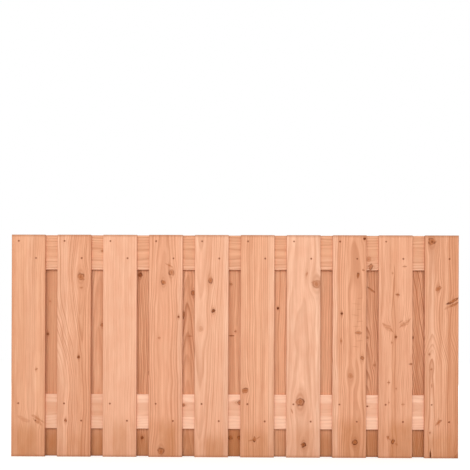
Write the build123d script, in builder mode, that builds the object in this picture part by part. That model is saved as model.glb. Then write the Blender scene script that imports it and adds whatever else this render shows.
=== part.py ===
"""Board-on-board fence panel of planed softwood.

Upright boards stand in two layers on either side of two flat rails. The front boards leave gaps,
and each back board covers one gap and laps behind the two boards beside it. Two nails on a
diagonal hold every board to each rail, with their heads driven just below the wood.

Frame: X along the panel, Y through it with the front at -Y, Z up. The origin is under the middle.
"""

import os

from build123d import *

# Driving dimensions, in millimetres
PANEL_LENGTH = 1800.0
FRONT_BOARDS = 10

BOARD_LENGTH = 895.0
BOARD_WIDTH = 136.0
BOARD_THICKNESS = 15.0

RAIL_WIDTH = 140.0
RAIL_THICKNESS = 15.0
LOWER_RAIL_RISE = 112.0  # from the boards' feet to the lower rail's underside

ARRIS_RADIUS = 3.0  # long edges of the rails, and of the boards on their show face

NAIL_HEAD_DIAMETER = 5.2
NAIL_HEAD_SIDES = 8  # the many heads have few faces
NAIL_HEAD_THICKNESS = 1.0
NAIL_SHANK_WIDTH = 2.2  # square wire
NAIL_POINT_LENGTH = 3.5
NAIL_SET = 1.5  # how deep the head lies below the board's face
NAIL_COVER = 2.5  # wood left between the nail's point and the rail's far face
NAIL_CLEARANCE = 0.05  # all round the shank and the head

NAIL_HIGH_EDGE = 29.0  # high nail, from the board's left edge as its nailer sees it
NAIL_LOW_EDGE = 37.5  # low nail, from the board's right edge
NAIL_ROW_RISE = 69.0  # from the low nail up to the high nail
UPPER_NAIL_ROW = 45.5  # low nails of the front boards, above the upper rail's underside
LOWER_NAIL_ROW = 33.5  # the same above the lower rail's underside
BACK_NAIL_STAGGER = 14.0  # the back boards' nails lie this much lower

CHECK_LENGTH = 30.0  # the drying split in the foot of the last front board
CHECK_WIDTH = 2.4  # at the foot, narrowing upwards to nothing
CHECK_EDGE = 24.0  # from that board's left edge

# Places that follow from the driving dimensions
BOARD_GAP = (PANEL_LENGTH - FRONT_BOARDS * BOARD_WIDTH) / (FRONT_BOARDS - 1)
BOARD_PITCH = BOARD_WIDTH + BOARD_GAP
BOARD_LAP = (BOARD_WIDTH - BOARD_GAP) / 2  # how far a back board reaches behind a front board
FACE_DISTANCE = RAIL_THICKNESS / 2 + BOARD_THICKNESS  # from the panel's middle to its faces
NAIL_LENGTH = BOARD_THICKNESS + RAIL_THICKNESS - NAIL_SET - NAIL_COVER
HOLE_WIDTH = NAIL_SHANK_WIDTH + 2 * NAIL_CLEARANCE

FRONT_FACE = Plane(origin=(0, -FACE_DISTANCE, 0), x_dir=(1, 0, 0), z_dir=(0, -1, 0))
BACK_FACE = Plane(origin=(0, FACE_DISTANCE, 0), x_dir=(-1, 0, 0), z_dir=(0, 1, 0))

# Left edges of the boards, along the X axis of the face that they belong to
FRONT_EDGES = [i * BOARD_PITCH - PANEL_LENGTH / 2 for i in range(FRONT_BOARDS)]
BACK_EDGES = [-(edge + 2 * BOARD_WIDTH - BOARD_LAP) for edge in FRONT_EDGES[:-1]]

# Each rail's underside, with the height of the low row of the front boards' nails in it
UPPER_RAIL_FOOT = BOARD_LENGTH - RAIL_WIDTH
LOWER_RAIL_FOOT = LOWER_RAIL_RISE
UPPER_ROW_HEIGHT = UPPER_RAIL_FOOT + UPPER_NAIL_ROW
LOWER_ROW_HEIGHT = LOWER_RAIL_FOOT + LOWER_NAIL_ROW


def nail_spots(edge, row_height):
    """The two nails of one board in one rail, on the board's own face: low right, high left."""
    low = (edge + BOARD_WIDTH - NAIL_LOW_EDGE, row_height)
    high = (edge + NAIL_HIGH_EDGE, row_height + NAIL_ROW_RISE)
    return [low, high]


def front_nail_spots(row_height):
    """Every nail that the front boards have in one rail."""
    return [spot for edge in FRONT_EDGES for spot in nail_spots(edge, row_height)]


def back_nail_spots(row_height):
    """Every nail that the back boards have in one rail."""
    lowered = row_height - BACK_NAIL_STAGGER
    return [spot for edge in BACK_EDGES for spot in nail_spots(edge, lowered)]


def save(piece, name):
    """Labels a finished piece and writes it to its own file."""
    piece.label = name
    export_step(piece, f"parts/{name}.step")


def make_board(face, edge, rows):
    """One upright board, flat on a face of the panel, with its nail holes and sunk seats."""
    spots = [spot for row_height in rows for spot in nail_spots(edge, row_height)]
    with BuildPart() as board:
        with BuildSketch(face):
            with Locations((edge + BOARD_WIDTH / 2, BOARD_LENGTH / 2)):
                Rectangle(BOARD_WIDTH, BOARD_LENGTH)
        extrude(amount=-BOARD_THICKNESS)
        outer_face = board.faces().sort_by(Axis(face.origin, face.z_dir))[-1]
        fillet(outer_face.edges().filter_by(Axis.Z), radius=ARRIS_RADIUS)
        with BuildSketch(face):
            with Locations(*spots):
                RegularPolygon(NAIL_HEAD_DIAMETER / 2 + NAIL_CLEARANCE, NAIL_HEAD_SIDES, major_radius=False)
        extrude(amount=-NAIL_SET - NAIL_HEAD_THICKNESS, mode=Mode.SUBTRACT)
        with BuildSketch(face):
            with Locations(*spots):
                Rectangle(HOLE_WIDTH, HOLE_WIDTH)
        extrude(amount=-BOARD_THICKNESS, mode=Mode.SUBTRACT)
    return board.part


def make_checked_board(face, edge, rows):
    """A board whose foot has split along the grain as it dried."""
    with BuildPart() as board:
        add(make_board(face, edge, rows))
        with BuildSketch(face):
            with BuildLine():
                Polyline(
                    (edge + CHECK_EDGE - CHECK_WIDTH / 2, 0),
                    (edge + CHECK_EDGE + CHECK_WIDTH / 2, 0),
                    (edge + CHECK_EDGE, CHECK_LENGTH),
                    close=True,
                )
            make_face()
        extrude(amount=-BOARD_THICKNESS, mode=Mode.SUBTRACT)
    return board.part


def make_rail(foot, row_height):
    """One flat rail between the two layers, with the nails' blind holes from both sides."""
    front = FRONT_FACE.offset(-BOARD_THICKNESS)
    back = BACK_FACE.offset(-BOARD_THICKNESS)
    with BuildPart() as rail:
        with BuildSketch(Plane.YZ.offset(-PANEL_LENGTH / 2)):
            with Locations((0, foot + RAIL_WIDTH / 2)):
                Rectangle(RAIL_THICKNESS, RAIL_WIDTH)
        extrude(amount=PANEL_LENGTH)
        fillet(rail.edges().filter_by(Axis.X), radius=ARRIS_RADIUS)
        for face, spots in ((front, front_nail_spots(row_height)), (back, back_nail_spots(row_height))):
            with BuildSketch(face):
                with Locations(*spots):
                    Rectangle(HOLE_WIDTH, HOLE_WIDTH)
            extrude(amount=NAIL_COVER - NAIL_CLEARANCE - RAIL_THICKNESS, mode=Mode.SUBTRACT)
    return rail.part


def make_nail():
    """One flat-headed nail, point down, with the top of its head at the origin."""
    shoulder = Plane.XY.offset(NAIL_POINT_LENGTH - NAIL_LENGTH)
    with BuildPart() as nail:
        with BuildSketch():
            RegularPolygon(NAIL_HEAD_DIAMETER / 2, NAIL_HEAD_SIDES, major_radius=False)
        extrude(amount=-NAIL_HEAD_THICKNESS)
        with BuildSketch():
            Rectangle(NAIL_SHANK_WIDTH, NAIL_SHANK_WIDTH)
        extrude(amount=NAIL_POINT_LENGTH - NAIL_LENGTH)
        with BuildSketch(shoulder) as point:
            Rectangle(NAIL_SHANK_WIDTH, NAIL_SHANK_WIDTH)
        loft(sections=[point.sketch, Vertex(0, 0, -NAIL_LENGTH)])
    return nail.part


def make_nail_row(nail, face, spots):
    """The nails of one layer of boards in one rail, each a solid of its own."""
    with BuildPart() as row:
        with Locations(face.offset(-NAIL_SET)):
            with Locations(*spots):
                add(nail)
    return row.part


os.makedirs("parts", exist_ok=True)

# Front boards, from left to right, the last of them with the drying split
front_rows = [LOWER_ROW_HEIGHT, UPPER_ROW_HEIGHT]
for number, edge in enumerate(FRONT_EDGES, start=1):
    make = make_checked_board if number == FRONT_BOARDS else make_board
    save(make(FRONT_FACE, edge, front_rows), f"front_board_{number}")

# Back boards, numbered from left to right as seen from the front
back_rows = [row - BACK_NAIL_STAGGER for row in front_rows]
for number, edge in enumerate(BACK_EDGES, start=1):
    save(make_board(BACK_FACE, edge, back_rows), f"back_board_{number}")

# Rails
save(make_rail(UPPER_RAIL_FOOT, UPPER_ROW_HEIGHT), "upper_rail")
save(make_rail(LOWER_RAIL_FOOT, LOWER_ROW_HEIGHT), "lower_rail")

# Nails, one group for each layer of boards in each rail
one_nail = make_nail()
save(make_nail_row(one_nail, FRONT_FACE, front_nail_spots(UPPER_ROW_HEIGHT)), "upper_front_nails")
save(make_nail_row(one_nail, FRONT_FACE, front_nail_spots(LOWER_ROW_HEIGHT)), "lower_front_nails")
save(make_nail_row(one_nail, BACK_FACE, back_nail_spots(UPPER_ROW_HEIGHT)), "upper_back_nails")
save(make_nail_row(one_nail, BACK_FACE, back_nail_spots(LOWER_ROW_HEIGHT)), "lower_back_nails")

print(f"gap {BOARD_GAP:.1f}, pitch {BOARD_PITCH:.1f}, lap {BOARD_LAP:.1f}, nail {NAIL_LENGTH:.1f} mm")
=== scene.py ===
# %% [markdown]
# # A garden fence panel of planed softwood
# The panel has ten upright boards in front, nine behind the gaps, two flat rails between the layers, and
# nails with sunk heads. Its solids come packed, in metres, as a fixed frame. This lesson dresses them: it
# sets up the camera and the light, models the nails and the boards, and grows the wood as a solid pattern of
# annual rings and knots.

# %% Load the frame
import math

import bmesh
import bpy
from mathutils import Matrix, Vector


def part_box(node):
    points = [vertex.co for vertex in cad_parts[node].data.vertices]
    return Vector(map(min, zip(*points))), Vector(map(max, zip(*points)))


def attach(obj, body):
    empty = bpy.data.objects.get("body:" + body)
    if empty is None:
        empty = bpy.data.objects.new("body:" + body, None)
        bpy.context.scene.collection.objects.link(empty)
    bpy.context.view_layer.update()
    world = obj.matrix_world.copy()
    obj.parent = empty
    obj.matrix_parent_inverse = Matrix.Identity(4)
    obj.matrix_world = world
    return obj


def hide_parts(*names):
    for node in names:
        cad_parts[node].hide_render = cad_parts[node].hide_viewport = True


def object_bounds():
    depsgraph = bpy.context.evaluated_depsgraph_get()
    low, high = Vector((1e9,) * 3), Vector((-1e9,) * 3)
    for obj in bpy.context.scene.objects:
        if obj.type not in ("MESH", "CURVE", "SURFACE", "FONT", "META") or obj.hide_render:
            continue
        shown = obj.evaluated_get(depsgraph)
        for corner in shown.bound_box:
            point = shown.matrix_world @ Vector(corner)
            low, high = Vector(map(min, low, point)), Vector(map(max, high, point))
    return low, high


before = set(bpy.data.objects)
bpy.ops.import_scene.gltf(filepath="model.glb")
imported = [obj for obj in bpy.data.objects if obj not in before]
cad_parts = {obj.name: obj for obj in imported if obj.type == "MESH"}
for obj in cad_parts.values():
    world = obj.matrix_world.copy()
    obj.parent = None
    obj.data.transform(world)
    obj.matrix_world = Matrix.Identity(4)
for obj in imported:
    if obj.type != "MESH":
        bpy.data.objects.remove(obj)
cad_box = [list(corner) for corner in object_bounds()]
MM = 0.001
scene = bpy.context.scene
panel_low = Vector(cad_box[0])
panel_high = Vector(cad_box[1])
panel_middle = (panel_low + panel_high) / 2
panel_size = [round(side / MM, 1) for side in panel_high - panel_low]
print("panel of", panel_size, "mm,", len(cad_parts), "nodes")

# %% [markdown]
# ## Camera
# The picture is taken from the front, at half the panel's height and a little right of its middle, so that
# the right end looks a hair taller. The panel fills the lower half of the square. Tilting the camera up would
# make the boards lean together, so the lens is shifted instead, as on a view camera. The slight roll follows
# the slope of the panel's edges in the picture.

# %% Camera
PICTURE_SPAN = 1891 * MM  # what the square picture spans at the panel's face
CAMERA_DISTANCE = 3.6
CAMERA_TURN = math.radians(0.6)  # how far round to the right the camera stands
CAMERA_ROLL = math.radians(-0.2)
AIM_RIGHT = 2.4 * MM  # the picture's middle lies this far right of the panel's
SENSOR_WIDTH = 36.0
LENS_SHIFT = 0.2366  # how far the panel's middle lies below the picture's, as a share of the picture

camera_data = bpy.data.cameras.new("camera")
camera_data.sensor_width = SENSOR_WIDTH
camera_data.lens = SENSOR_WIDTH * CAMERA_DISTANCE / PICTURE_SPAN
camera_data.shift_y = LENS_SHIFT
camera = bpy.data.objects.new("camera", camera_data)
scene.collection.objects.link(camera)
target = Vector((panel_middle.x + AIM_RIGHT, panel_low.y, panel_middle.z))
sideways = CAMERA_DISTANCE * math.sin(CAMERA_TURN)
away = CAMERA_DISTANCE * math.cos(CAMERA_TURN)
camera.location = target + Vector((sideways, -away, 0))
camera.rotation_euler = (math.radians(90), CAMERA_ROLL, CAMERA_TURN)
scene.camera = camera
print("lens", round(camera_data.lens, 1), "mm, camera at", [round(value, 3) for value in camera.location])

# %% [markdown]
# ## Colours and nodes
# Colours are written as sRGB hex values, as a picture editor shows them. Blender's shaders work on linear
# light, so one function turns them over. A second small function adds a node with its settings and links.
# With these two, each material below reads as a list of steps.


# %% Colour and node helpers
def linear(hex_colour):
    """The linear RGBA colour of an sRGB hex value such as #C8A080."""
    channels = [int(hex_colour[i:i + 2], 16) / 255 for i in (1, 3, 5)]
    return [c / 12.92 if c <= 0.04045 else ((c + 0.055) / 1.055) ** 2.4 for c in channels] + [1.0]


def add(tree, kind, inputs=(), **settings):
    """Adds a node, applies its settings, and fills inputs with values or links, by name or by number."""
    made = tree.nodes.new("ShaderNode" + kind)
    for name, value in settings.items():
        setattr(made, name, value)
    pairs = inputs.items() if isinstance(inputs, dict) else enumerate(inputs)
    for name, value in pairs:
        source = value.outputs[0] if isinstance(value, bpy.types.Node) else value
        if isinstance(source, bpy.types.NodeSocket):
            tree.links.new(source, made.inputs[name])
        else:
            made.inputs[name].default_value = source
    return made


def new_material(name):
    """An empty node material, with its node tree."""
    material = bpy.data.materials.new(name)
    material.use_nodes = True
    material.node_tree.nodes.clear()
    return material, material.node_tree


# The colour sockets of a Mix node, which share their names with its number sockets
MIX_A, MIX_B, MIX_RESULT = 6, 7, 2
print("mid grey", [round(channel, 3) for channel in linear("#808080")])

# %% [markdown]
# ## Floor
# The panel stands on pure white ground, with a faint shadow. A floor that only glows would lose that shadow,
# and plain white paint would look grey. So this is a real pale floor that takes the shadow, and gives rays
# from the camera just enough light of its own to look white.

# %% Floor
FLOOR_SIZE = 40.0
FLOOR_GLOW = 0.6


def seen_directly(tree):
    """1 for rays from the camera, off a mirror or through glass, and 0 for light that bounces about."""
    path = add(tree, "LightPath").outputs
    mirrored = add(tree, "Math", [path["Is Camera Ray"], path["Is Glossy Ray"]], operation="MAXIMUM")
    return add(tree, "Math", [mirrored, path["Is Transmission Ray"]], operation="MAXIMUM")


floor_paint, tree = new_material("matt white floor paint")
paint = add(tree, "BsdfDiffuse", {"Color": linear("#C9C6C1")})
glow = add(tree, "Math", [seen_directly(tree), FLOOR_GLOW], operation="MULTIPLY")
glow = add(tree, "Emission", {"Strength": glow})
add(tree, "OutputMaterial", [add(tree, "AddShader", [paint, glow])])

bpy.ops.object.select_all(action="DESELECT")
bpy.ops.mesh.primitive_plane_add(size=FLOOR_SIZE, location=(0, 0, panel_low.z))
floor = bpy.context.object
floor.name = "floor"
floor.data.materials.append(floor_paint)
bpy.ops.object.transform_apply(location=True, rotation=True, scale=True)
print("floor of", FLOOR_SIZE, "m")

# %% [markdown]
# ## World
# The backdrop is white too. A wall would need lamps of its own, so the world does it: it is white to the
# camera, while to everything else it is an even overcast sky that gives much of the light.

# %% World
SKY_STRENGTH = 0.75

world = bpy.data.worlds.new("studio")
scene.world = world
world.use_nodes = True
tree = world.node_tree
tree.nodes.clear()
strength = add(tree, "MapRange", {"Value": seen_directly(tree), "To Min": SKY_STRENGTH, "To Max": 1.0})
sky = add(tree, "Background", {"Color": linear("#FFFFFF"), "Strength": strength})
add(tree, "OutputWorld", [sky])
scene.view_settings.view_transform = "Standard"
print("sky strength", SKY_STRENGTH)

# %% [markdown]
# ## Lamps
# A wide softbox stands far in front, above the panel and a touch to the left. It is big and nearly frontal,
# so the shadow lines beside the boards and under the rails stay soft, where a small lamp would draw hard
# ones. A twin of it lights the back, which the picture doesn't show but a walk round the panel does.

# %% Lamps
LAMP_SIZE = 4.2
LAMP_WATTS = 240
KEY_PLACE = Vector((-0.6, -6.4, 2.7))
BACK_PLACE = Vector((0.6, 6.4, 2.7))


def soft_lamp(name, location):
    """A square softbox that looks at the middle of the panel."""
    data = bpy.data.lights.new(name, "AREA")
    data.size = LAMP_SIZE
    data.energy = LAMP_WATTS
    lamp = bpy.data.objects.new(name, data)
    lamp.location = location
    lamp.rotation_euler = (panel_middle - lamp.location).to_track_quat("-Z", "Y").to_euler()
    scene.collection.objects.link(lamp)


soft_lamp("key_left", KEY_PLACE)
soft_lamp("fill_back", BACK_PLACE)
print("key lamp", round((KEY_PLACE - panel_middle).length, 2), "m from the panel")

# %% [markdown]
# ## Nails
# Round wire nails hold the boards, with flat heads driven a little below the face. A nail is drawn and headed
# from one wire, so it is modelled from one cylinder: the head comes first, and an inset and two extrusions of
# its underside give the shank and the point. There are 76 of them, so each has few faces.

# %% One nail
HEAD_RADIUS = 2.6 * MM
HEAD_THICKNESS = 1.0 * MM
HEAD_EDGE = 0.3 * MM
HEAD_SIDES = 14
SHANK_RADIUS = 1.08 * MM
SHANK_LENGTH = 21.5 * MM
POINT_LENGTH = 3.4 * MM
NAIL_DEPTH = 1.5 * MM  # how far the head's top lies below the board's face
SMOOTH_ANGLE = math.radians(40)  # edges sharper than this stay sharp


def start_editing(mode):
    """Opens the active object's mesh for editing, with nothing selected."""
    bpy.ops.object.mode_set(mode="EDIT")
    bpy.ops.mesh.select_mode(type=mode)
    bpy.ops.mesh.select_all(action="DESELECT")


def pick(kind, test):
    """Selects the edges or faces whose every corner passes a test of its place, and nothing else."""
    bpy.ops.mesh.select_all(action="DESELECT")
    edited = bpy.context.object.data
    mesh = bmesh.from_edit_mesh(edited)
    for part in getattr(mesh, kind):
        if all(test(corner.co) for corner in part.verts):
            part.select_set(True)
    bmesh.update_edit_mesh(edited)


def model_nail(name, spare=0.0):
    """A nail with the top of its head at the origin, pointing down. spare widens it, for cutting its hole."""
    bpy.ops.object.select_all(action="DESELECT")
    bpy.ops.mesh.primitive_cylinder_add(vertices=HEAD_SIDES, radius=HEAD_RADIUS + spare, depth=HEAD_THICKNESS,
                                        location=(0, 0, -HEAD_THICKNESS / 2))
    nail = bpy.context.object
    nail.name = name
    bpy.ops.object.transform_apply(location=True, rotation=True, scale=True)
    start_editing("FACE")
    pick("faces", lambda place: place.z < -HEAD_THICKNESS / 2)
    bpy.ops.mesh.inset(thickness=HEAD_RADIUS - SHANK_RADIUS, depth=0)
    for length in (SHANK_LENGTH, POINT_LENGTH):
        bpy.ops.mesh.extrude_region_move(TRANSFORM_OT_translate={"value": (0, 0, -length)})
    bpy.ops.mesh.merge(type="CENTER")
    bpy.ops.object.mode_set(mode="OBJECT")
    return nail


one_nail = model_nail("one_nail")
start_editing("EDGE")
pick("edges", lambda place: place.z > -HEAD_THICKNESS / 2)
bpy.ops.mesh.bevel(offset=HEAD_EDGE, segments=2, affect="EDGES")
bpy.ops.object.mode_set(mode="OBJECT")
bpy.ops.object.shade_smooth_by_angle(angle=SMOOTH_ANGLE)
print("one nail has", len(one_nail.data.polygons), "faces")

# %% [markdown]
# A nail is set by turning it towards its board and moving it to its spot. Both go into the mesh, so that
# every piece's own origin stays at the frame's. The nails of one layer in one rail are joined into one piece.

# %% Rows of nails
NAIL_REPEAT = 655.0  # millimetres from the lower rail's nails up to the upper rail's
FRONT_NAILS = [(98.5, 145.5), (29.0, 214.5)]  # across and up a board, as seen from the front
BACK_NAILS = [(37.5, 131.5), (107.0, 200.5)]
FRONTS = [f"front_board_{number}" for number in range(1, 11)]
BACKS = [f"back_board_{number}" for number in range(1, 10)]


def own_copy(piece, name, matrix):
    """A copy of a piece with a mesh of its own, moved inside that mesh."""
    twin = piece.copy()
    twin.data = piece.data.copy()
    twin.name = name
    twin.data.name = name
    twin.data.transform(matrix)
    scene.collection.objects.link(twin)
    return twin


def drop(piece):
    """Deletes a helper piece."""
    bpy.data.objects.remove(piece, do_unlink=True)


def nails_set(nail, name, boards, spots, rise, side):
    """Copies of a nail in a row of boards, joined. side is -1 for nails from the front and 1 from behind."""
    turn = Matrix.Rotation(math.radians(-90 * side), 4, "X")
    copies = []
    for board in boards:
        low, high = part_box(board)
        face = low[1] if side < 0 else high[1]
        for across, up in spots:
            place = Vector((low[0] + across * MM, face - side * NAIL_DEPTH, low[2] + (up + rise) * MM))
            copies.append(own_copy(nail, name, Matrix.Translation(place) @ turn))
    bpy.ops.object.select_all(action="DESELECT")
    for copy in copies:
        copy.select_set(True)
    bpy.context.view_layer.objects.active = copies[0]
    bpy.ops.object.join()
    return bpy.context.object


nail_rows = {}
for side, layer, boards, spots in ((-1, "front", FRONTS, FRONT_NAILS), (1, "back", BACKS, BACK_NAILS)):
    for rail, rise in (("lower", 0.0), ("upper", NAIL_REPEAT)):
        row = nails_set(one_nail, f"{rail}_{layer}_wire_nails", boards, spots, rise, side)
        nail_rows[f"{rail}_{layer}_nails"] = row
for node, row in nail_rows.items():
    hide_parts(node)
    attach(row, "root")
drop(one_nail)
print("nail rows", {row.name: len(row.data.polygons) for row in nail_rows.values()})

# %% [markdown]
# ## Boards
# The nails have crushed a shallow ring of wood round each head. A bump in the material could only shade that,
# so real holes are cut. What is cut away is the form of a nail, a hair wider, with a mouth that flares up to
# the face.

# %% Nail holes
HOLE_SPARE = 0.05 * MM
MOUTH_FLARE = 0.7 * MM


def nail_cutter(node, spots, side):
    """What the nails of one board take out of it: their own form, and a flared mouth up to the face."""
    cutter = model_nail("nail_hole", HOLE_SPARE)
    start_editing("FACE")
    pick("faces", lambda place: place.z > -HEAD_THICKNESS / 2)
    bpy.ops.mesh.extrude_region_move(TRANSFORM_OT_translate={"value": (0, 0, NAIL_DEPTH - MOUTH_FLARE)})
    wider = 1 + MOUTH_FLARE / HEAD_RADIUS
    for _ in range(2):
        bpy.ops.mesh.extrude_region_move(TRANSFORM_OT_translate={"value": (0, 0, MOUTH_FLARE)})
        bpy.ops.transform.resize(value=(wider, wider, 1))
    bpy.ops.object.mode_set(mode="OBJECT")
    every_spot = [(across, up + rise) for across, up in spots for rise in (0.0, NAIL_REPEAT)]
    cutters = nails_set(cutter, "nail_holes", [node], every_spot, 0.0, side)
    drop(cutter)
    return cutters


def cut_away(piece, cutter):
    """Takes one piece's form out of another, and deletes it."""
    bpy.context.view_layer.objects.active = piece
    modifier = piece.modifiers.new("cut", "BOOLEAN")
    modifier.operation = "DIFFERENCE"
    modifier.solver = "EXACT"
    modifier.object = cutter
    bpy.ops.object.modifier_apply(modifier=modifier.name)
    drop(cutter)


print("nail holes flare by", round(MOUTH_FLARE / MM, 2), "mm")

# %% [markdown]
# The boards are planed: flat faces, long edges rounded on the show side and just eased on the other, and
# ends cut square with a saw and lightly broken. A cube is the right start, and bevels do the rest. One board
# of each layer is modelled and copied, because all of them have the same nails.

# %% Model the boards
SHOW_ARRIS = 3.0 * MM
INNER_ARRIS = 0.8 * MM
END_ARRIS = 0.6 * MM
NEAR = 0.01 * MM  # corners this close to a place count as being there


def model_board(node, spots, side):
    """A planed board in a node's place. side is -1 where its show face looks to the front, and 1 behind."""
    low, high = (Vector(corner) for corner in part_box(node))
    bpy.ops.object.select_all(action="DESELECT")
    bpy.ops.mesh.primitive_cube_add(size=1, location=(low + high) / 2, scale=high - low)
    board = bpy.context.object
    board.name = node + "_planed"
    bpy.ops.object.transform_apply(location=True, rotation=True, scale=True)
    show = low.y if side < 0 else high.y
    inner = high.y if side < 0 else low.y

    start_editing("EDGE")
    for face, arris, segments in ((show, SHOW_ARRIS, 5), (inner, INNER_ARRIS, 2)):
        for edge_x in (low.x, high.x):
            pick("edges", lambda place: abs(place.y - face) < NEAR and abs(place.x - edge_x) < NEAR)
            bpy.ops.mesh.bevel(offset=arris, segments=segments, affect="EDGES")
    for end in (low.z, high.z):
        pick("edges", lambda place: abs(place.z - end) < NEAR)
        bpy.ops.mesh.bevel(offset=END_ARRIS, segments=2, affect="EDGES")
    bpy.ops.object.mode_set(mode="OBJECT")

    cut_away(board, nail_cutter(node, spots, side))
    bpy.ops.object.select_all(action="DESELECT")
    board.select_set(True)
    bpy.context.view_layer.objects.active = board
    bpy.ops.object.shade_smooth_by_angle(angle=SMOOTH_ANGLE)
    return board


pieces = {}
for side, boards, spots in ((-1, FRONTS, FRONT_NAILS), (1, BACKS, BACK_NAILS)):
    first = model_board(boards[0], spots, side)
    pieces[boards[0]] = first
    for node in boards[1:]:
        move = Vector(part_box(node)[0]) - Vector(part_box(boards[0])[0])
        pieces[node] = own_copy(first, node + "_planed", Matrix.Translation(move))
print(len(pieces), "boards of", len(first.data.polygons), "faces")

# %% [markdown]
# The foot of the last front board has split a little along the grain as it dried. The split is a thin crooked
# wedge: a cube, cut across a few times, narrowed to the top and pushed from side to side.

# %% The drying split
SPLIT_LENGTH = 30.0 * MM
SPLIT_WIDTH = 2.4 * MM
SPLIT_ACROSS = 24.0 * MM
SPLIT_CUTS = (0.3, 0.55, 0.8)  # as shares of the split's length
SPLIT_NARROWING = 0.93  # how much of its width the split has lost at its top
SPLIT_SWAY = 0.5 * MM
SPLIT_BENDS = 7.0  # radians of sway over the split's length

low, high = (Vector(corner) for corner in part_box(FRONTS[-1]))
split_foot = low.z - SPLIT_WIDTH
split_top = low.z + SPLIT_LENGTH
split_height = split_top - split_foot
middle = Vector((low.x + SPLIT_ACROSS, (low.y + high.y) / 2, (split_foot + split_top) / 2))
bpy.ops.object.select_all(action="DESELECT")
bpy.ops.mesh.primitive_cube_add(size=1, location=middle,
                                scale=(SPLIT_WIDTH, 2 * (high.y - low.y), split_height))
split = bpy.context.object
bpy.ops.object.transform_apply(location=True, rotation=True, scale=True)
start_editing("VERT")
for share in SPLIT_CUTS:
    bpy.ops.mesh.select_all(action="SELECT")
    bpy.ops.mesh.bisect(plane_co=(0, 0, split_foot + share * split_height), plane_no=(0, 0, 1))
bpy.ops.object.mode_set(mode="OBJECT")
for corner in split.data.vertices:
    share = (corner.co.z - split_foot) / split_height
    narrowed = (corner.co.x - middle.x) * (1.0 - SPLIT_NARROWING * share)
    corner.co.x = middle.x + narrowed + SPLIT_SWAY * math.sin(SPLIT_BENDS * share)
cut_away(pieces[FRONTS[-1]], split)
for node, piece in pieces.items():
    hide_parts(node)
    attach(piece, "root")
print("split board has", len(pieces[FRONTS[-1]].data.polygons), "faces")

# %% [markdown]
# ## Wood, from the inside out
# Wood is a solid pattern: annual rings are nested tubes round the pith of the log, and a board is a cut
# through them. So the pattern is grown in the log and the board only shows it, and then faces, edges and
# end grain agree by themselves. A board cut far from the pith shows straight lines. One cut near it and a
# bit aslant shows the tall arches that joiners call cathedrals.
#
# A knot is the root of a branch, and the grain parts round it. It will be a node group, used once a knot, and
# starts with a point's place in the knot: the distance from its middle in knot radii, with a frayed outline.
# A knot that is stretched a lot gives the smears and ripples of a branch that was cut lengthwise.

# %% Place in a knot
KNOT_FRAY = 0.6  # how far the outline strays, in knot radii
KNOT_BUMPS = 0.9  # bumps of that outline in one knot radius


def place_in_knot(group, given):
    """A point's way from the knot's middle (across, as a vector, and frayed in radii), and patchy noise."""
    across = add(group, "Math", [given["Across"], given["At Across"]], operation="SUBTRACT")
    along = add(group, "Math", [given["Along"], given["At Along"]], operation="SUBTRACT")
    offset = add(group, "CombineXYZ", [across, along])
    angle = add(group, "Math", [given["Turn"], -1.0], operation="MULTIPLY")
    turned = add(group, "VectorRotate", {"Vector": offset, "Angle": angle}, rotation_type="Z_AXIS")
    long_radius = add(group, "Math", [given["Radius"], given["Stretch"]], operation="MULTIPLY")
    radii = add(group, "CombineXYZ", [long_radius, given["Radius"], 1.0])
    inside = add(group, "VectorMath", [turned, radii], operation="DIVIDE")
    own_place = add(group, "CombineXYZ", [given["At Across"], given["At Along"]])
    uneven = add(group, "VectorMath", [inside, own_place], operation="ADD")
    uneven = add(group, "TexNoise", {"Vector": uneven, "Scale": KNOT_BUMPS, "Detail": 2.0}).outputs["Color"]
    fray, patch = add(group, "SeparateXYZ", [uneven]).outputs[:2]
    fray = add(group, "MapRange", {"Value": fray, "To Min": -KNOT_FRAY, "To Max": KNOT_FRAY})
    radial = add(group, "VectorMath", [inside], operation="LENGTH").outputs["Value"]
    radial = add(group, "Math", [radial, fray], operation="ADD")
    return across, offset, radial, patch


print("a knot's outline strays by", KNOT_FRAY, "of its radius")

# %% [markdown]
# A live branch leaves a flat brown disc with rings of its own. A dead one keeps a broken line of dark bark
# round it, or is dark all over. One value for how dark a knot is leads from the one to the other, so both
# need only one set of nodes.

# %% Disc and bark
DISC_EDGE = (1.2, 0.65)  # where the disc starts and where it is full, in knot radii
KNOT_RINGS = 9.0  # radians of the knot's own growth rings in one knot radius
PALEST_RING = 0.6
CORE_SHARE = (0.3, 1.05)  # how much of the brown the palest and the darkest knots take
BARK_AT = 0.9  # in knot radii
BARK_WIDTH = 0.45
BARK_BREAKS = (0.4, 0.6)  # from patches without bark to patches with it
BARK_FROM = (0.4, 0.75)  # how dark a knot is where its bark starts to show, and where it shows in full
FILL_FROM = 0.72  # how dark a knot is where its bark starts to fill it
FILL_MOST = 0.95


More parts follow.
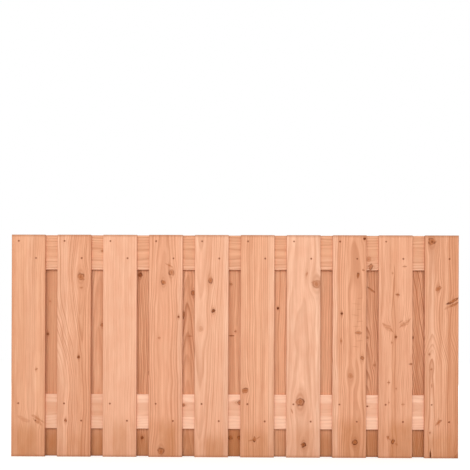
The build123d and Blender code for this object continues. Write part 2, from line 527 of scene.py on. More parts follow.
def disc_and_bark(group, radial, patch, dark):
    """Masks of a knot's disc, with rings of its own, and of its bark, which shows in places only."""
    disc = add(group, "MapRange", {"Value": radial, "From Min": DISC_EDGE[0], "From Max": DISC_EDGE[1]},
               interpolation_type="SMOOTHSTEP")
    wave = add(group, "Math", [radial, KNOT_RINGS], operation="MULTIPLY")
    wave = add(group, "Math", [wave], operation="SINE")
    wave = add(group, "MapRange", {"Value": wave, "From Min": -1.0, "To Min": PALEST_RING})
    core = add(group, "Math", [disc, wave], operation="MULTIPLY")
    depth = add(group, "MapRange", {"Value": dark, "To Min": CORE_SHARE[0], "To Max": CORE_SHARE[1]})
    core = add(group, "Math", [core, depth], operation="MULTIPLY")

    from_bark = add(group, "Math", [radial, BARK_AT], operation="SUBTRACT")
    from_bark = add(group, "Math", [from_bark], operation="ABSOLUTE")
    bark = add(group, "MapRange", {"Value": from_bark, "From Min": BARK_WIDTH, "From Max": 0.0},
               interpolation_type="SMOOTHSTEP")
    kept = add(group, "MapRange", {"Value": patch, "From Min": BARK_BREAKS[0], "From Max": BARK_BREAKS[1]})
    bark = add(group, "Math", [bark, kept], operation="MULTIPLY")
    shown = add(group, "MapRange", {"Value": dark, "From Min": BARK_FROM[0], "From Max": BARK_FROM[1]})
    bark = add(group, "Math", [bark, shown], operation="MULTIPLY")
    filled = add(group, "MapRange", {"Value": dark, "From Min": FILL_FROM, "To Max": FILL_MOST})
    filled = add(group, "Math", [disc, filled], operation="MULTIPLY")
    bark = add(group, "Math", [bark, filled], operation="MAXIMUM")
    return core, bark


print("bark at", BARK_AT, "of a knot's radius")

# %% [markdown]
# Round a knot the wood is rich in resin, in a darker, wavy flame that is drawn out along the grain. The grain
# parts at the knot and closes again a few radii beyond it. A bell-shaped pull does that: it moves the place
# at which the rings are read, so that no line breaks.

# %% Flame and parted grain
FLAME = (2.1, 4.4)  # how far the flame reaches across and along, in knot radii
FLAME_FULL = 0.2  # where it is darkest, as a share of that reach
FLAME_RINGS = 18.0  # radians of the wavy grain inside the flame
PALEST_WAVE = 0.35
PARTING = (1.9, 4.0)  # how far from the knot the grain parts, across and along, in knot radii
EULER = 2.718  # the base of natural powers and logarithms


def shares_of_reach(group, radius, offset, reach):
    """An offset as shares of a reach across and along, which is given in knot radii."""
    across = add(group, "Math", [radius, reach[0]], operation="MULTIPLY")
    along = add(group, "Math", [radius, reach[1]], operation="MULTIPLY")
    reaches = add(group, "CombineXYZ", [across, along, 1.0])
    return add(group, "VectorMath", [offset, reaches], operation="DIVIDE")


def resin_flame(group, radius, offset, dark):
    """The mask of the wavy, resin-rich wood round a knot."""
    far = shares_of_reach(group, radius, offset, FLAME)
    far = add(group, "VectorMath", [far], operation="LENGTH").outputs["Value"]
    halo = add(group, "MapRange", {"Value": far, "From Min": 1.0, "From Max": FLAME_FULL},
               interpolation_type="SMOOTHSTEP")
    wavy = add(group, "Math", [far, FLAME_RINGS], operation="MULTIPLY")
    wavy = add(group, "Math", [wavy], operation="SINE")
    wavy = add(group, "MapRange", {"Value": wavy, "From Min": -1.0, "To Min": PALEST_WAVE})
    halo = add(group, "Math", [halo, wavy], operation="MULTIPLY")
    return add(group, "Math", [halo, dark], operation="MULTIPLY")


def parted_grain(group, given, across, offset):
    """Where the grain lies across the board, once it has parted at the knot and closed again beyond it."""
    near = shares_of_reach(group, given["Radius"], offset, PARTING)
    near = add(group, "VectorMath", [near, near], operation="DOT_PRODUCT").outputs["Value"]
    near = add(group, "Math", [near, -1.0], operation="MULTIPLY")
    pull = add(group, "Math", [EULER, near], operation="POWER")
    pull = add(group, "Math", [pull, across], operation="MULTIPLY")
    return add(group, "Math", [given["Across"], pull], operation="SUBTRACT")


print("grain parts", PARTING[1], "radii above and below a knot")

# %% [markdown]
# The group keeps these steps in one place. Each knot of each board then only sets its own place, radius,
# stretch, turn and darkness.


# %% The knot group
def make_knot_group():
    """The node group of one knot: where the grain lies once it has parted, and the knot's masks."""
    group = bpy.data.node_groups.new("knot", "ShaderNodeTree")
    for name in ("Across", "Along", "At Across", "At Along", "Radius", "Stretch", "Turn", "Dark"):
        group.interface.new_socket(name, in_out="INPUT", socket_type="NodeSocketFloat")
    for name in ("Across", "Core", "Bark", "Halo"):
        group.interface.new_socket(name, in_out="OUTPUT", socket_type="NodeSocketFloat")
    given = group.nodes.new("NodeGroupInput").outputs
    result = group.nodes.new("NodeGroupOutput").inputs

    across, offset, radial, patch = place_in_knot(group, given)
    core, bark = disc_and_bark(group, radial, patch, given["Dark"])
    halo = resin_flame(group, given["Radius"], offset, given["Dark"])
    parted = parted_grain(group, given, across, offset)
    for made, name in ((parted, "Across"), (core, "Core"), (bark, "Bark"), (halo, "Halo")):
        group.links.new(made.outputs[0], result[name])
    return group


knot_group = make_knot_group()
print("knot group of", len(knot_group.nodes), "nodes")

# %% [markdown]
# The wood itself starts from a place in millimetres: across from the board's left edge, through from its
# front, and along from its foot. The knots bend that place one after the other, and slow noise lets the trunk
# wander. Where a big branch stood close by, the grain can also sweep towards a line along the board.

# %% Where the grain lies
WANDER = (26.0, 20.0, 0.0)  # how far the trunk wanders across, through and along, in millimetres
WANDER_SIZE = (90.0, 90.0, 260.0)  # the size of one bend
FAN_CORE = 30.0  # how close to its line swept grain turns straight, in millimetres


def bent_by_knots(tree, across, along, knots):
    """Where the grain lies across the board after its knots, and the knots' masks."""
    masks = dict.fromkeys(("Core", "Bark", "Halo"), 0.0)
    for at_across, at_along, radius, stretch, turn, dark in knots:
        inputs = {"Across": across, "Along": along, "At Across": at_across, "At Along": at_along,
                  "Radius": radius, "Stretch": stretch, "Turn": math.radians(turn), "Dark": dark}
        knot = add(tree, "Group", inputs, node_tree=knot_group)
        across = knot.outputs["Across"]
        for name, mask in masks.items():
            masks[name] = add(tree, "Math", [knot.outputs[name], mask], operation="MAXIMUM")
    return across, masks


def wandering(tree, board, bent, seed, wander):
    """The grain's place with the trunk's slow wander added."""
    slow = add(tree, "Mapping", {"Vector": board, "Scale": [1 / size for size in WANDER_SIZE]})
    slow = add(tree, "TexNoise", {"Vector": slow, "W": seed, "Scale": 1.0, "Detail": 2.0},
               noise_dimensions="4D")
    drift = add(tree, "VectorMath", [slow.outputs["Color"], (0.5, 0.5, 0.5)], operation="SUBTRACT")
    drift = add(tree, "VectorMath", [drift, [wander * side for side in WANDER]], operation="MULTIPLY")
    return add(tree, "VectorMath", [bent, drift], operation="ADD")


def fanned(tree, grain, line, reach, low, high, sweep):
    """Grain that sweeps towards a line along the board between two heights, and is straight beyond it."""
    across, through, along = add(tree, "SeparateXYZ", [grain]).outputs
    apart = add(tree, "Math", [line, across], operation="SUBTRACT")
    apart = add(tree, "Math", [apart, apart, FAN_CORE ** 2], operation="MULTIPLY_ADD")
    apart = add(tree, "Math", [apart, EULER ** 2], operation="LOGARITHM")
    bend = add(tree, "MapRange", {"Value": along, "From Min": high, "From Max": low, "To Max": sweep},
               interpolation_type="SMOOTHSTEP")
    beside = {"Value": across, "From Min": line + FAN_CORE, "From Max": line - FAN_CORE}
    beside = add(tree, "MapRange", beside, interpolation_type="SMOOTHSTEP")
    swept = add(tree, "Math", [bend, beside, apart], operation="MULTIPLY_ADD")
    swept = add(tree, "Math", [swept, reach], operation="MULTIPLY")
    return add(tree, "CombineXYZ", [swept, through, along])


print("bends of", WANDER_SIZE[2], "mm along the grain")

# %% [markdown]
# A second mapping steps into the log, whose axis is the pith. There the distance from the pith counts the
# years. A tapering trunk gives every year the form of a cone, which is what points the cathedrals. The taper
# starts at the pith's own height and stops after a reach, so a board can have arches in one stretch and
# straight lines in the rest. Within a year, pale spring wood deepens slowly into brown summer wood and stops
# short, and no two years are as dark.

# %% Annual rings
TAPER_REACH = 2000.0  # a trunk tapers this far, in millimetres, unless its board says otherwise
TAPER_EASE = 40.0  # how gently the taper starts and stops, in millimetres
YEAR_SWAY = 1.4  # by how many years the ring widths drift
SWAY_PACE = 0.37  # how many such drifts there are in a year
SPRING_END = 0.25  # the share of a year from which the wood deepens
SUMMER_PEAK = 0.85  # the share at which it is deepest
SUMMER_STOP = 0.86  # the share from which it falls back to the next spring's pale wood
LEAST_YEAR = 0.25  # how dark the palest year is


def count_years(tree, rings, seed, pith, lean, taper, ring, reach):
    """The years that the log had grown at a place, from its distance to the pith and the trunk's taper."""
    turned = [math.radians(angle) for angle in lean] + [0.0]
    log = add(tree, "Mapping", {"Vector": rings, "Location": pith, "Rotation": turned}, vector_type="TEXTURE")
    log_x, log_y, log_up = add(tree, "SeparateXYZ", [log]).outputs
    from_pith = add(tree, "CombineXYZ", [log_x, log_y])
    from_pith = add(tree, "VectorMath", [from_pith], operation="LENGTH").outputs["Value"]
    log_up = add(tree, "Math", [log_up, 0.0, TAPER_EASE], operation="SMOOTH_MAX")
    log_up = add(tree, "Math", [log_up, reach, TAPER_EASE], operation="SMOOTH_MIN")
    cone = add(tree, "Math", [log_up, taper, from_pith], operation="MULTIPLY_ADD")
    years = add(tree, "Math", [cone, ring], operation="DIVIDE")
    uneven = add(tree, "TexNoise", {"W": years, "Scale": SWAY_PACE, "Detail": 1.0}, noise_dimensions="1D")
    years = add(tree, "Math", [uneven, YEAR_SWAY, years], operation="MULTIPLY_ADD")
    return add(tree, "Math", [years, seed], operation="ADD")


def summer_wood(tree, years):
    """How much summer wood there is at a place, from nothing in spring to the most late in a dark year."""
    season = add(tree, "Math", [years], operation="FRACT")
    deepen = add(tree, "MapRange", {"Value": season, "From Min": SPRING_END, "From Max": SUMMER_PEAK},
                 interpolation_type="SMOOTHSTEP")
    stop = add(tree, "MapRange", {"Value": season, "From Min": 1.0, "From Max": SUMMER_STOP},
               interpolation_type="SMOOTHSTEP")
    summer = add(tree, "Math", [deepen, stop], operation="MULTIPLY")
    year = add(tree, "Math", [years], operation="FLOOR")
    vigour = add(tree, "TexWhiteNoise", {"W": year}, noise_dimensions="1D").outputs["Value"]
    vigour = add(tree, "MapRange", {"Value": vigour, "To Min": LEAST_YEAR})
    return add(tree, "Math", [summer, vigour], operation="MULTIPLY")


def wood_grain(tree, board, seed, knots, pith, lean, taper, ring, fan=None, wander=1.0, reach=TAPER_REACH):
    """A board's grain after knots and wander, its summer wood, and the knots' masks."""
    across, through, along = add(tree, "SeparateXYZ", [board]).outputs
    across, masks = bent_by_knots(tree, across, along, knots)
    bent = add(tree, "CombineXYZ", [across, through, along])
    grain = wandering(tree, board, bent, seed, wander)
    rings = fanned(tree, grain, *fan) if fan else grain
    years = count_years(tree, rings, seed, pith, lean, taper, ring, reach)
    return grain, summer_wood(tree, years), masks


print("the palest year is", LEAST_YEAR, "as dark as the darkest")

# %% [markdown]
# ## Planed softwood
# The boards are planed but not sealed, so the wood is matt, with a faint shine on the hard summer wood. To
# the eye it gives a warm salmon pink with fine lines along the grain, wider streaks and pale bands of
# sapwood. The colour is built up in layers. Each layer is a mask and the colour that it lets through, and all
# masks are made in the same millimetres, so a stain sits on its nail and a knot in its own grain.

# %% Layers of the grain
SUMMER_WOOD = "#B4704A"
BLUSH_WOOD = "#E39A78"
BAND_FRAY = 14.0  # how far a band's edges stray, in millimetres
BAND_EDGE = 6.0
BLUSH_NOISE = (0.35, 0.7)  # the noise at which the blush starts to show, and at which it shows in full
STREAK_NOISE = (0.4, 0.68)
FIBRE_NOISE = (0.42, 0.78)
BLUSH_SHARE = 0.3
STREAK_SHARE = 0.85  # how strong streaks, lines and fibres are, for a board with a contrast of 1
LINE_SHARE = 1.6
FIBRE_SHARE = 0.6
LEAST_FIBRE = 0.1


def between(tree, value, start, stop, soft):
    """A mask that is 1 between two values, with soft ends. It has two Map Range nodes, multiplied."""
    rising = add(tree, "MapRange", {"Value": value, "From Min": start - soft, "From Max": start + soft},
                 interpolation_type="SMOOTHSTEP")
    falling = add(tree, "MapRange", {"Value": value, "From Min": stop + soft, "From Max": stop - soft},
                  interpolation_type="SMOOTHSTEP")
    return add(tree, "Math", [rising, falling], operation="MULTIPLY")


def grain_layers(tree, across, noises, lines, bands, contrast):
    """Layers of the bands, a pink blush, the streaks, the annual lines and the fibres."""
    streak, fibre, mottle = noises
    layers = []
    frayed = add(tree, "MapRange", {"Value": streak, "To Min": -BAND_FRAY, "To Max": BAND_FRAY})
    frayed = add(tree, "Math", [across, frayed], operation="ADD")
    for start, stop, band_colour, amount in bands:
        band = between(tree, frayed, start, stop, BAND_EDGE)
        layers.append((add(tree, "Math", [band, amount], operation="MULTIPLY"), band_colour))
    blush = {"Value": mottle, "From Min": BLUSH_NOISE[0], "From Max": BLUSH_NOISE[1], "To Max": BLUSH_SHARE}
    layers.append((add(tree, "MapRange", blush), BLUSH_WOOD))
    streaky = {"Value": streak, "From Min": STREAK_NOISE[0], "From Max": STREAK_NOISE[1],
               "To Max": STREAK_SHARE * contrast}
    layers.append((add(tree, "MapRange", streaky), SUMMER_WOOD))
    layers.append((lines, SUMMER_WOOD))
    most_fibre = LEAST_FIBRE + FIBRE_SHARE * contrast
    fibrous = {"Value": fibre, "From Min": FIBRE_NOISE[0], "From Max": FIBRE_NOISE[1], "To Max": most_fibre}
    layers.append((add(tree, "MapRange", fibrous), SUMMER_WOOD))
    return layers


print("bands fray by", BAND_FRAY, "mm")

# %% [markdown]
# Weather, iron and painted shade come on top. The feet of the front boards have drawn up damp, most of it in
# the heart of each board. On the back boards the same darker foot spans the whole board and is painted shade
# below the lower rail. Tannin has turned dark where each iron nail went in, more at one nail than at another.
# The faces are darker within a few millimetres of the sawn ends, and the end grain itself, whose open pores
# drink light, looks darker and duller than the faces.

# %% Layers of wear and painted shade
FOOT_BROWN = "#BA7644"
FOOT_FRAY = 45.0  # how far the darker foot's upper edge strays, in millimetres
FOOT_EDGE = 35.0
HEART_EDGE = 4.0
FOOT_SIDE_SHARE = 0.4  # how dark the foot is at the sides of a board, as a share of its heart
BLOTCH_NOISE = (0.3, 0.6)  # the noise at which the darker foot is least, and at which it is in full
LEAST_BLOTCH = 0.75
NAIL_STAIN = "#8A3600"
STAIN_RADIUS = 6.0
STAIN_CORE = 2.0
STAIN_NOISE = (0.35, 0.65)
STAIN_SHARE = (0.2, 0.9)  # how dark the palest and the darkest stains are
FAR_AWAY = 999.0
END_DARK = "#A2694A"
END_REACH = 11.0  # how far in from the sawn ends the faces are darker
END_DARK_SHARE = 0.66
END_GRAIN = "#C08A62"
END_FACING = (0.6, 0.9)  # how far a face looks along the board where end grain starts, and where it is full
END_SHARE = 0.55


def foot_damp_and_shade(tree, across, along, noises, foot):
    """The mask of a darker foot, which is noted as its heart's two edges, its height and its strength."""
    # Damp on the front boards; on the back boards, as wide as the board, it is painted shade below the lower
    # rail.
    heart_from, heart_to, top, amount = foot
    streak, _, mottle = noises
    ragged = add(tree, "MapRange", {"Value": streak, "To Min": -FOOT_FRAY, "To Max": FOOT_FRAY})
    height = add(tree, "Math", [along, ragged], operation="ADD")
    foot_darkening = add(tree, "MapRange", {"Value": height, "From Min": top + FOOT_EDGE, "From Max": top - FOOT_EDGE},
               interpolation_type="SMOOTHSTEP")
    heart = between(tree, across, heart_from, heart_to, HEART_EDGE)
    heart = add(tree, "MapRange", {"Value": heart, "To Min": amount * FOOT_SIDE_SHARE, "To Max": amount})
    foot_darkening = add(tree, "Math", [foot_darkening, heart], operation="MULTIPLY")
    blotch = {"Value": mottle, "From Min": BLOTCH_NOISE[0], "From Max": BLOTCH_NOISE[1],
              "To Min": LEAST_BLOTCH}
    blotch = add(tree, "MapRange", blotch)
    return add(tree, "Math", [foot_darkening, blotch], operation="MULTIPLY")


def nail_stain(tree, across, along, mottle, spots):
    """The mask of the stains round the nails, which repeat from rail to rail."""
    folded = add(tree, "Math", [along, NAIL_REPEAT], operation="MODULO")
    folded = add(tree, "CombineXYZ", [across, 0.0, folded])
    nearest = FAR_AWAY
    for spot_across, spot_up in spots:
        apart = add(tree, "VectorMath", [folded, (spot_across, 0.0, spot_up)], operation="DISTANCE")
        nearest = add(tree, "Math", [apart.outputs["Value"], nearest], operation="MINIMUM")
    stained = add(tree, "MapRange", {"Value": nearest, "From Min": STAIN_RADIUS, "From Max": STAIN_CORE},
                  interpolation_type="SMOOTHSTEP")
    taken = {"Value": mottle, "From Min": STAIN_NOISE[0], "From Max": STAIN_NOISE[1],
             "To Min": STAIN_SHARE[0], "To Max": STAIN_SHARE[1]}
    taken = add(tree, "MapRange", taken)
    return add(tree, "Math", [stained, taken], operation="MULTIPLY")


def sawn_ends(tree, along, length, end_axis):
    """Layers of the darker faces near the sawn ends, and of the end grain itself."""
    from_middle = add(tree, "Math", [along, length / 2], operation="SUBTRACT")
    from_middle = add(tree, "Math", [from_middle], operation="ABSOLUTE")
    near_end = {"Value": from_middle, "From Min": length / 2 - END_REACH, "From Max": length / 2,
              "To Max": END_DARK_SHARE}
    normal = add(tree, "SeparateXYZ", [add(tree, "NewGeometry").outputs["Normal"]]).outputs[end_axis]
    facing_end = add(tree, "Math", [normal], operation="ABSOLUTE")
    at_end = {"Value": facing_end, "From Min": END_FACING[0], "From Max": END_FACING[1], "To Max": END_SHARE}
    return [(add(tree, "MapRange", near_end), END_DARK), (add(tree, "MapRange", at_end), END_GRAIN)]


print("stains of", 2 * STAIN_RADIUS, "mm round the nails")

# %% [markdown]
# The material itself puts the layers together from the bottom up. Streaks and fibres are noise that is drawn
# out along the grain, and the mottle is rounder. Hard summer wood stands a little proud of the planed face
# and shines a little more, so it drives the roughness and, with the fibres, a fine bump.

# %% The wood material
STREAK_SIZE = (15.0, 15.0, 600.0)  # across, through and along the grain, in millimetres
FIBRE_SIZE = (3.2, 3.2, 120.0)  # real fibres are far finer, and are drawn this coarse to show
MOTTLE_SIZE = (34.0, 34.0, 80.0)
KNOT_BROWN = "#A3561F"
BARK_BROWN = "#5A2206"
HALO_SHARE = 0.8
BUMP_DEPTH = 0.25 * MM
BUMP_STRENGTH = 0.5
SPRING_ROUGHNESS = 0.66
SUMMER_ROUGHNESS = 0.5
WOOD_IOR = 1.5
WOOD_SPECULAR = 0.12  # low, because bare wood has no smooth skin to mirror anything


def planed_softwood(name, place, length, end_axis, spots, seed, tone, contrast, bands, foot, knots, **growth):
    """The wood of one board or rail, in a place of its own, with stains at its nails' spots."""
    material, tree = new_material(name)
    location, rotation, scale = place
    where = add(tree, "TexCoord").outputs["Object"]
    moved = {"Vector": where, "Location": location, "Rotation": rotation, "Scale": scale}
    board = add(tree, "Mapping", moved)
    across, _, along = add(tree, "SeparateXYZ", [board]).outputs
    grain, summer, masks = wood_grain(tree, board, seed, knots, **growth)
    noises = []
    for size in (STREAK_SIZE, FIBRE_SIZE, MOTTLE_SIZE):
        stretched = add(tree, "Mapping", {"Vector": grain, "Scale": [1 / side for side in size]})
        noise = {"Vector": stretched, "W": seed, "Scale": 1.0, "Detail": 3.0}
        noises.append(add(tree, "TexNoise", noise, noise_dimensions="4D").outputs[0])
    _, fibre, mottle = noises

    lines = add(tree, "Math", [summer, LINE_SHARE * contrast], operation="MULTIPLY", use_clamp=True)
    layers = grain_layers(tree, across, noises, lines, bands, contrast)
    layers.append((foot_damp_and_shade(tree, across, along, noises, foot), FOOT_BROWN))
    if knots:
        halo = add(tree, "Math", [masks["Halo"], HALO_SHARE], operation="MULTIPLY")
        layers += [(halo, SUMMER_WOOD), (masks["Core"], KNOT_BROWN), (masks["Bark"], BARK_BROWN)]
    if spots:
        layers.append((nail_stain(tree, across, along, mottle, spots), NAIL_STAIN))
    layers += sawn_ends(tree, along, length, end_axis)
    colour = linear(tone)
    for mask, layer_colour in layers:
        mixed = add(tree, "Mix", {0: mask, MIX_A: colour, MIX_B: linear(layer_colour)}, data_type="RGBA")
        colour = mixed.outputs[MIX_RESULT]

    relief = add(tree, "Math", [summer, fibre], operation="ADD")
    bump = add(tree, "Bump", {"Height": relief, "Strength": BUMP_STRENGTH, "Distance": BUMP_DEPTH})
    rough = add(tree, "MapRange", {"Value": lines, "To Min": SPRING_ROUGHNESS, "To Max": SUMMER_ROUGHNESS})
    shader = add(tree, "BsdfPrincipled", {"Base Color": colour, "Roughness": rough, "IOR": WOOD_IOR,
                                          "Specular IOR Level": WOOD_SPECULAR, "Normal": bump})
    add(tree, "OutputMaterial", [shader])
    return material


print("fibres", FIBRE_SIZE[0], "mm wide, streaks", STREAK_SIZE[0], "mm")

# %% [markdown]
# ## The boards
# Each board comes from another log, or another place in it, so each has its own pith, lean, taper, ring
# width, contrast, tone, bands of sapwood or heartwood, darker foot and knots. A band is noted as its two
# edges across the board, its colour and its strength, and a foot as its heart's two edges, its height and its
# strength. A knot is noted as its place across and up the board, its radius, how far it is stretched and
# turned, and how dark it is. All lengths are millimetres, and angles are degrees.
#
# A few logs need more. One stops tapering after a reach, and some wander more or less than usual. The grain
# of one fans out from a line: noted are the line's place across, how widely the rings lie, the two heights
# between which they sweep, and how strongly.

# %% Front boards
PALE = "#F0B999"
WARM = "#EDB38F"
SAPWOOD = "#F8CBAE"
HEARTWOOD = "#D5926A"
front_boards = [
    dict(pith=(-420, 160, 0), lean=(0, 0.4), taper=0.0, ring=5.0, contrast=0.36, tone=WARM,
         bands=[(-40, 10, HEARTWOOD, 0.5), (60, 100, SAPWOOD, 0.15)], foot=(26, 102, 130, 0.52),
         knots=[(101, 352, 3.5, 1.6, 30, 0.5), (108, 153, 6, 5, -33, 0.3), (106, 141, 5, 5, -42, 0.22),
                (50, 150, 9, 3, -25, 0.02)]),
    dict(pith=(-900, 60, 0), lean=(0, 0), taper=0.0, fan=(92, 95, 300, 690, 0.95), wander=1.5, ring=12.0,
         contrast=0.42, tone="#EFB593", bands=[(84, 240, HEARTWOOD, 0.35), (-40, 40, SAPWOOD, 0.2)],
         foot=(40, 100, 90, 0.3),
         knots=[(95, 726, 14, 1, 0, 0.6), (96, 681, 4, 1, 0, 0.3), (87, 402, 5.5, 1, 0, 0.85),
                (35, 146, 5, 1, 0, 0.75)]),
    dict(pith=(420, 260, 0), lean=(0, -0.3), taper=0.0, ring=6.0, contrast=0.16, tone=PALE, bands=[],
         foot=(42, 97, 140, 0.38), knots=[]),
    dict(pith=(58, 36, 600), lean=(0, 0), taper=0.04, ring=8.0, contrast=0.36, tone="#F0B492",
         bands=[(-60, 100, HEARTWOOD, 0.1), (118, 200, SAPWOOD, 0.3)], foot=(44, 108, 140, 0.56),
         knots=[(82, 772, 3, 6, -26, 0.4), (91, 744, 11, 1.2, 120, 0.56), (60, 704, 10, 1, 0, 0.66),
                (120, 565, 4.5, 1, 0, 0.9), (42, 480, 4, 1.5, 0, 0.4), (51, 23, 14, 1, 0, 0.6)]),
    dict(pith=(22, 40, 0), lean=(0, 0.2), taper=-0.035, wander=0.5, ring=6.5, contrast=0.27, tone="#F5BF9F",
         bands=[(45, 116, HEARTWOOD, 0.16), (118, 200, SAPWOOD, 0.4)], foot=(48, 117, 85, 0.5),
         knots=[(64, 712, 8, 1.5, 90, 0.6), (75, 589, 6.8, 1, 0, 0.88), (25, 516, 12, 0.8, 0, 0.1)]),
    dict(pith=(-260, 90, 0), lean=(0, -0.5), taper=0.0, wander=0.5, ring=7.0, contrast=0.42, tone="#F4BA97",
         bands=[(-10, 90, HEARTWOOD, 0.12), (112, 200, SAPWOOD, 0.35)], foot=(16, 112, 105, 0.46),
         knots=[(20, 273, 10, 1, 0, 0.3), (19, 268, 4.5, 2.2, 80, 0.64), (57, 73, 6, 1.6, 90, 0.68),
                (46, 69, 3, 5, 10, 0.36), (70, 79, 3, 4, 25, 0.32)]),
    dict(pith=(60, 90, 0), lean=(0, 0.2), taper=0.02, ring=10.0, contrast=0.3, tone="#F4C0A1",
         bands=[(118, 200, SAPWOOD, 0.4)], foot=(38, 106, 125, 0.3),
         knots=[(121, 698, 18, 1, 0, 0.46), (88, 739, 6, 1.4, 60, 0.3), (56, 224, 16, 1, 0, 0.68),
                (30, 187, 3, 4, -70, 0.4), (70, 53, 9, 1, 0, 0.82)]),
    dict(pith=(92, 52, 660), lean=(0, -0.3), taper=0.03, ring=6.8, contrast=0.5, tone="#F0B491",
         bands=[(-40, 22, SAPWOOD, 0.45), (60, 128, HEARTWOOD, 0.12)], foot=(38, 111, 140, 0.5),
         knots=[(128, 881, 5, 1, 0, 0.95), (102, 734, 4.5, 2.4, 80, 0.76), (123, 755, 2.5, 2.5, 0, 0.6),
                (37, 580, 4.5, 1, 0, 0.95), (35, 470, 4, 1, 0, 0.4), (103, 503, 6, 2.2, 0, 0.5),
                (120, 402, 7, 1, 0, 0.6), (73, 330, 11, 1, 0, 0.3), (91, 63, 10, 1, 0, 0.72),
                (110, 642, 1.9, 6, 9, 0.02), (94, 619, 1.8, 9, -3, 0.02), (107, 597, 1.9, 6, 7, 0.02),
                (91, 574, 1.8, 8, -7, 0.02), (109, 549, 1.8, 7, 5, 0.02), (97, 529, 1.8, 9, 2, 0.02),
                (108, 471, 1.9, 7, 5, 0.02), (94, 447, 1.8, 8, -5, 0.02)]),
    dict(pith=(62, 6, 400), lean=(0, 0), taper=0.01, ring=6.0, contrast=0.42, tone="#F1B694",
         bands=[(50, 74, HEARTWOOD, 0.35)], foot=(47, 131, 140, 0.5),
         knots=[(103, 770, 3, 2.5, 0, 0.5), (55, 743, 4, 1, 0, 0.3), (76, 657, 3.5, 2.4, 0, 0.75),
                (36, 524, 9, 2.8, -38, 0.03), (30, 535, 3, 5, -34, 0.36), (45, 515, 3, 5, -42, 0.42),
                (105, 542, 9, 2.4, 38, 0.03), (100, 533, 3, 5, 34, 0.36), (114, 551, 3, 5, 43, 0.42),
                (95, 548, 2.5, 5, 30, 0.3), (69, 487, 5, 1, 0, 0.85), (53, 464, 3.5, 1, 0, 0.5),
                (130, 378, 3, 2.5, 0, 0.7), (41, 304, 3, 2, 0, 0.5), (71, 279, 3.5, 1, 0, 0.4),
                (42, 223, 3, 1, 0, 0.4), (99, 216, 3, 2.5, 0, 0.4), (39, 85, 4, 1.5, 0, 0.5),
                (59, 66, 6, 1.5, 60, 0.7), (46, 76, 3.5, 3, -25, 0.2), (70, 56, 4, 2.5, -20, 0.15)]),
    dict(pith=(30, 12, 390), lean=(0, 0.2), taper=0.28, reach=115, ring=8.0, contrast=0.5, tone="#EFB491",
         bands=[(96, 240, HEARTWOOD, 0.6), (16, 40, SAPWOOD, 0.3)], foot=(15, 108, 95, 0.42),
         knots=[(28, 870, 14, 1, 0, 0.6), (54, 681, 7.5, 1.9, 40, 0.52), (113, 632, 5, 5, 31, 0.72),
                (119, 618, 4, 5, 31, 0.62), (96, 608, 6, 3, 31, 0.15), (19, 418, 4, 1, 0, 0.55),
                (27, 358, 4, 1, 0, 0.5), (29, 291, 2.5, 4, 90, 0.4), (57, 144, 5, 3, 40, 0.55),
                # The last two entries are no knots: (24, 13) is painted shade in the drying split, and (136,
                # 6) darkens the lower right corner.
                (22, 103, 4, 1, 0, 0.5), (24, 13, 3, 6.5, 90, 0.95), (136, 6, 12, 1.6, 60, 0.45)]),
]
print(len(front_boards), "front boards with", sum(len(grown["knots"]) for grown in front_boards), "knots")

# %% [markdown]
# The back boards show only a strip each through the gaps from the front, but the whole of them from behind.

# %% Back boards
HONEY = "#E0A984"
TAN = "#EEB691"
FAWN = "#F3BA94"
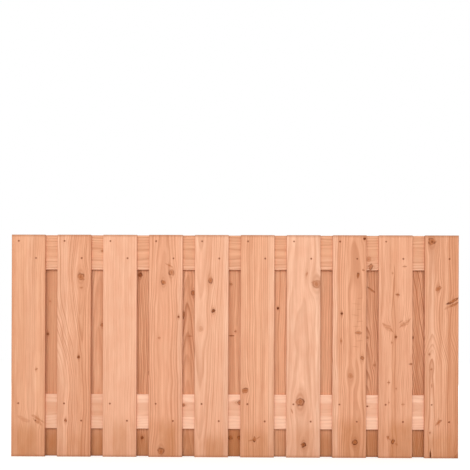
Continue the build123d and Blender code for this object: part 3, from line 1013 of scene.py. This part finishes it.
# Each back board's foot spans the whole board: it is painted shade below the lower rail, not damp.
back_boards = [
    dict(pith=(-300, 150, 0), lean=(0, 0.5), taper=0.0, ring=6.0, contrast=0.38, tone=HONEY,
         bands=[(20, 90, HEARTWOOD, 0.3)], foot=(0, 140, 100, 0.66),
         knots=[(57, 628, 4, 1, 0, 0.35), (49, 495, 5, 1, 0, 0.85)]),
    dict(pith=(70, 40, 0), lean=(0, 0.2), taper=0.03, ring=7.0, contrast=0.48, tone=TAN,
         bands=[(70, 180, HEARTWOOD, 0.25)], foot=(0, 140, 100, 0.66), knots=[(85, 532, 7, 1, 0, 0.6)]),
    dict(pith=(400, 180, 0), lean=(0, -0.4), taper=0.0, ring=6.5, contrast=0.55, tone="#F1B892",
         bands=[(-50, 50, HEARTWOOD, 0.2)], foot=(0, 140, 100, 0.58),
         knots=[(53, 735, 9, 1, 0, 0.84), (90, 337, 2.5, 4, 90, 0.7), (64, 74, 6, 1, 0, 0.85)]),
    dict(pith=(60, 20, 0), lean=(0, 0.3), taper=0.07, ring=8.0, contrast=0.55, tone=FAWN,
         bands=[(60, 160, HEARTWOOD, 0.2)], foot=(0, 140, 100, 0.5),
         knots=[(86, 663, 10, 1, 0, 0.6), (47, 575, 5, 3, 90, 0.6), (70, 488, 2, 6, 0, 0.5)]),
    dict(pith=(-350, 200, 0), lean=(0, 0.3), taper=0.0, ring=6.0, contrast=0.55, tone="#F1B892",
         bands=[(-50, 60, HEARTWOOD, 0.25)], foot=(0, 140, 120, 0.85),
         knots=[(53, 699, 6, 1, 0, 0.5), (72, 507, 4, 1, 0, 0.7), (56, 490, 2.5, 4, 0, 0.85),
                (53, 76, 8, 1, 0, 0.62), (88, 76, 8, 1, 0, 0.62)]),
    dict(pith=(260, 90, 0), lean=(0, 0.3), taper=0.0, ring=8.0, contrast=0.42, tone="#F0B791", bands=[],
         foot=(0, 140, 100, 0.32), knots=[(59, 602, 4.4, 1, 0, 0.98)]),
    dict(pith=(500, 240, 0), lean=(0, 0.2), taper=0.0, ring=6.0, contrast=0.48, tone="#ECB48F",
         bands=[(80, 200, HEARTWOOD, 0.2)], foot=(0, 140, 100, 0.55), knots=[(112, 430, 6, 1, 0, 0.5)]),
    dict(pith=(40, 25, 0), lean=(0, 0.6), taper=0.07, ring=6.5, contrast=0.68, tone="#F5BD98",
         bands=[(60, 150, HEARTWOOD, 0.2)], foot=(0, 140, 110, 0.6),
         knots=[(67, 677, 3.5, 6, -36, 0.6), (52, 484, 6, 1, 0, 0.4), (80, 372, 6, 1, 0, 0.4)]),
    dict(pith=(-250, 90, 0), lean=(0, -9), taper=0.0, ring=7.0, contrast=0.8, tone=FAWN,
         bands=[(-50, 70, HEARTWOOD, 0.2)], foot=(0, 140, 110, 0.6), knots=[(50, 485, 5, 1, 0, 0.85)]),
]
print(len(back_boards), "back boards with", sum(len(grown["knots"]) for grown in back_boards), "knots")

# %% [markdown]
# Each board's place is measured from its own left edge, front face and foot, so that the notes above can be
# read off with a ruler. A seed of its own gives each board noise of its own.

# %% Dress the boards
BOARD_LENGTH = (panel_high.z - panel_low.z) / MM
UPRIGHT = (0, 0, 0)
SEEDS = {"front": (0.0, 1.7), "back": (30.0, 1.3), "rail": (60.0, 2.1)}  # where seeds start, and their step


def dress_boards(layer, nodes, notes, spots):
    """Gives each board of a layer the wood that its notes describe."""
    first_seed, seed_step = SEEDS[layer]
    for number, (node, grown) in enumerate(zip(nodes, notes), start=1):
        low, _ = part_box(node)
        place = ((-low[0] / MM, -low[1] / MM, 0), UPRIGHT, (1 / MM, 1 / MM, 1 / MM))
        wood = planed_softwood(f"planed softwood {layer} {number}", place, BOARD_LENGTH, "Z", spots,
                               seed=first_seed + seed_step * number, **grown)
        pieces[node].data.materials.append(wood)


dress_boards("front", FRONTS, front_boards, FRONT_NAILS)
dress_boards("back", BACKS, back_boards, BACK_NAILS)
print("dressed", len(pieces), "boards of", round(BOARD_LENGTH), "mm")

# %% [markdown]
# The rails have pale bands: along both edges of the lower rail, with pink heartwood between them, and along
# the lower edge of the upper one. Their grain lies along the panel, so their place is turned: across is up,
# and along is to the right. A rail's foot is its left end, and only the lower rail is darker there. The
# solids of the rails are right as they are, so they stay and only change their material.

# %% Rails
DRY = (0, 1, -900, 0.0)  # a foot with no damp in it
LYING = (0, math.radians(90), 0)
rails = {
    "upper_rail": dict(pith=(60, 60, 0), lean=(0, 0.2), taper=0.01, ring=7.0, contrast=0.3, tone="#E8B18D",
                       bands=[(-40, 50, SAPWOOD, 0.2), (-40, 16, SAPWOOD, 0.3)], foot=DRY,
                       knots=[(76, 364, 5, 1, 0, 0.5), (14, 1449, 8, 1.5, 20, 0.64),
                              (44, 1440, 12, 1, 0, 0.3)]),
    "lower_rail": dict(pith=(90, 70, 0), lean=(0, 0.1), taper=0.01, ring=8.0, contrast=0.11, tone="#FFD5B9",
                       bands=[(53, 110, HEARTWOOD, 0.42), (-40, 45, SAPWOOD, 0.5),
                              (116, 200, SAPWOOD, 0.5)], foot=(-100, 300, 430, 0.24),
                       knots=[(97, 695, 6, 1, 0, 0.6), (108, 920, 8, 1, 0, 0.6), (95, 1437, 3, 1, 0, 0.9)]),
}
first_seed, seed_step = SEEDS["rail"]
for number, (node, grown) in enumerate(rails.items()):
    low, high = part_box(node)
    place = ((-low[2] / MM, -low[1] / MM, -low[0] / MM), LYING, (-1 / MM, 1 / MM, 1 / MM))
    rail_length = (high[0] - low[0]) / MM
    wood = planed_softwood(f"planed softwood {node}", place, rail_length, "X", [],
                           seed=first_seed + seed_step * number, **grown)
    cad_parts[node].material_slots[0].material = wood
print(len(rails), "rails of", round(rail_length), "mm")

# %% [markdown]
# ## Nail steel
# The wire was bright once. Damp wood has stained it with a dull rust-brown skin that is paler where it has
# worn, so to the eye it is hardly a metal any more, and rough.

# %% Nail steel
STAIN_SPOT = 1.2  # size of the stain's patches, in millimetres
WORN_NOISE = (0.4, 0.65)  # the noise at which wear starts to show, and at which it shows in full
RUST = "#7C3F16"
WORN_RUST = "#A8683A"
RUST_ROUGHNESS = 0.75
WORN_ROUGHNESS = 0.5
RUST_METALLIC = 0.1
PIT_DEPTH = 0.1 * MM
PIT_STRENGTH = 0.4

steel, tree = new_material("stained bright-drawn steel wire")
where = add(tree, "TexCoord").outputs["Object"]
patches = add(tree, "TexNoise", {"Vector": where, "Scale": 1 / (STAIN_SPOT * MM), "Detail": 3.0})
patches = add(tree, "MapRange", {"Value": patches, "From Min": WORN_NOISE[0], "From Max": WORN_NOISE[1]})
skin = add(tree, "Mix", {0: patches, MIX_A: linear(RUST), MIX_B: linear(WORN_RUST)}, data_type="RGBA")
dull = add(tree, "MapRange", {"Value": patches, "To Min": RUST_ROUGHNESS, "To Max": WORN_ROUGHNESS})
pits = add(tree, "Bump", {"Height": patches, "Strength": PIT_STRENGTH, "Distance": PIT_DEPTH})
shader = add(tree, "BsdfPrincipled", {"Base Color": skin.outputs[MIX_RESULT], "Metallic": RUST_METALLIC,
                                      "Roughness": dull, "Normal": pits})
add(tree, "OutputMaterial", [shader])
for row in nail_rows.values():
    row.data.materials.append(steel)
print("nail rows with steel:", len(nail_rows))
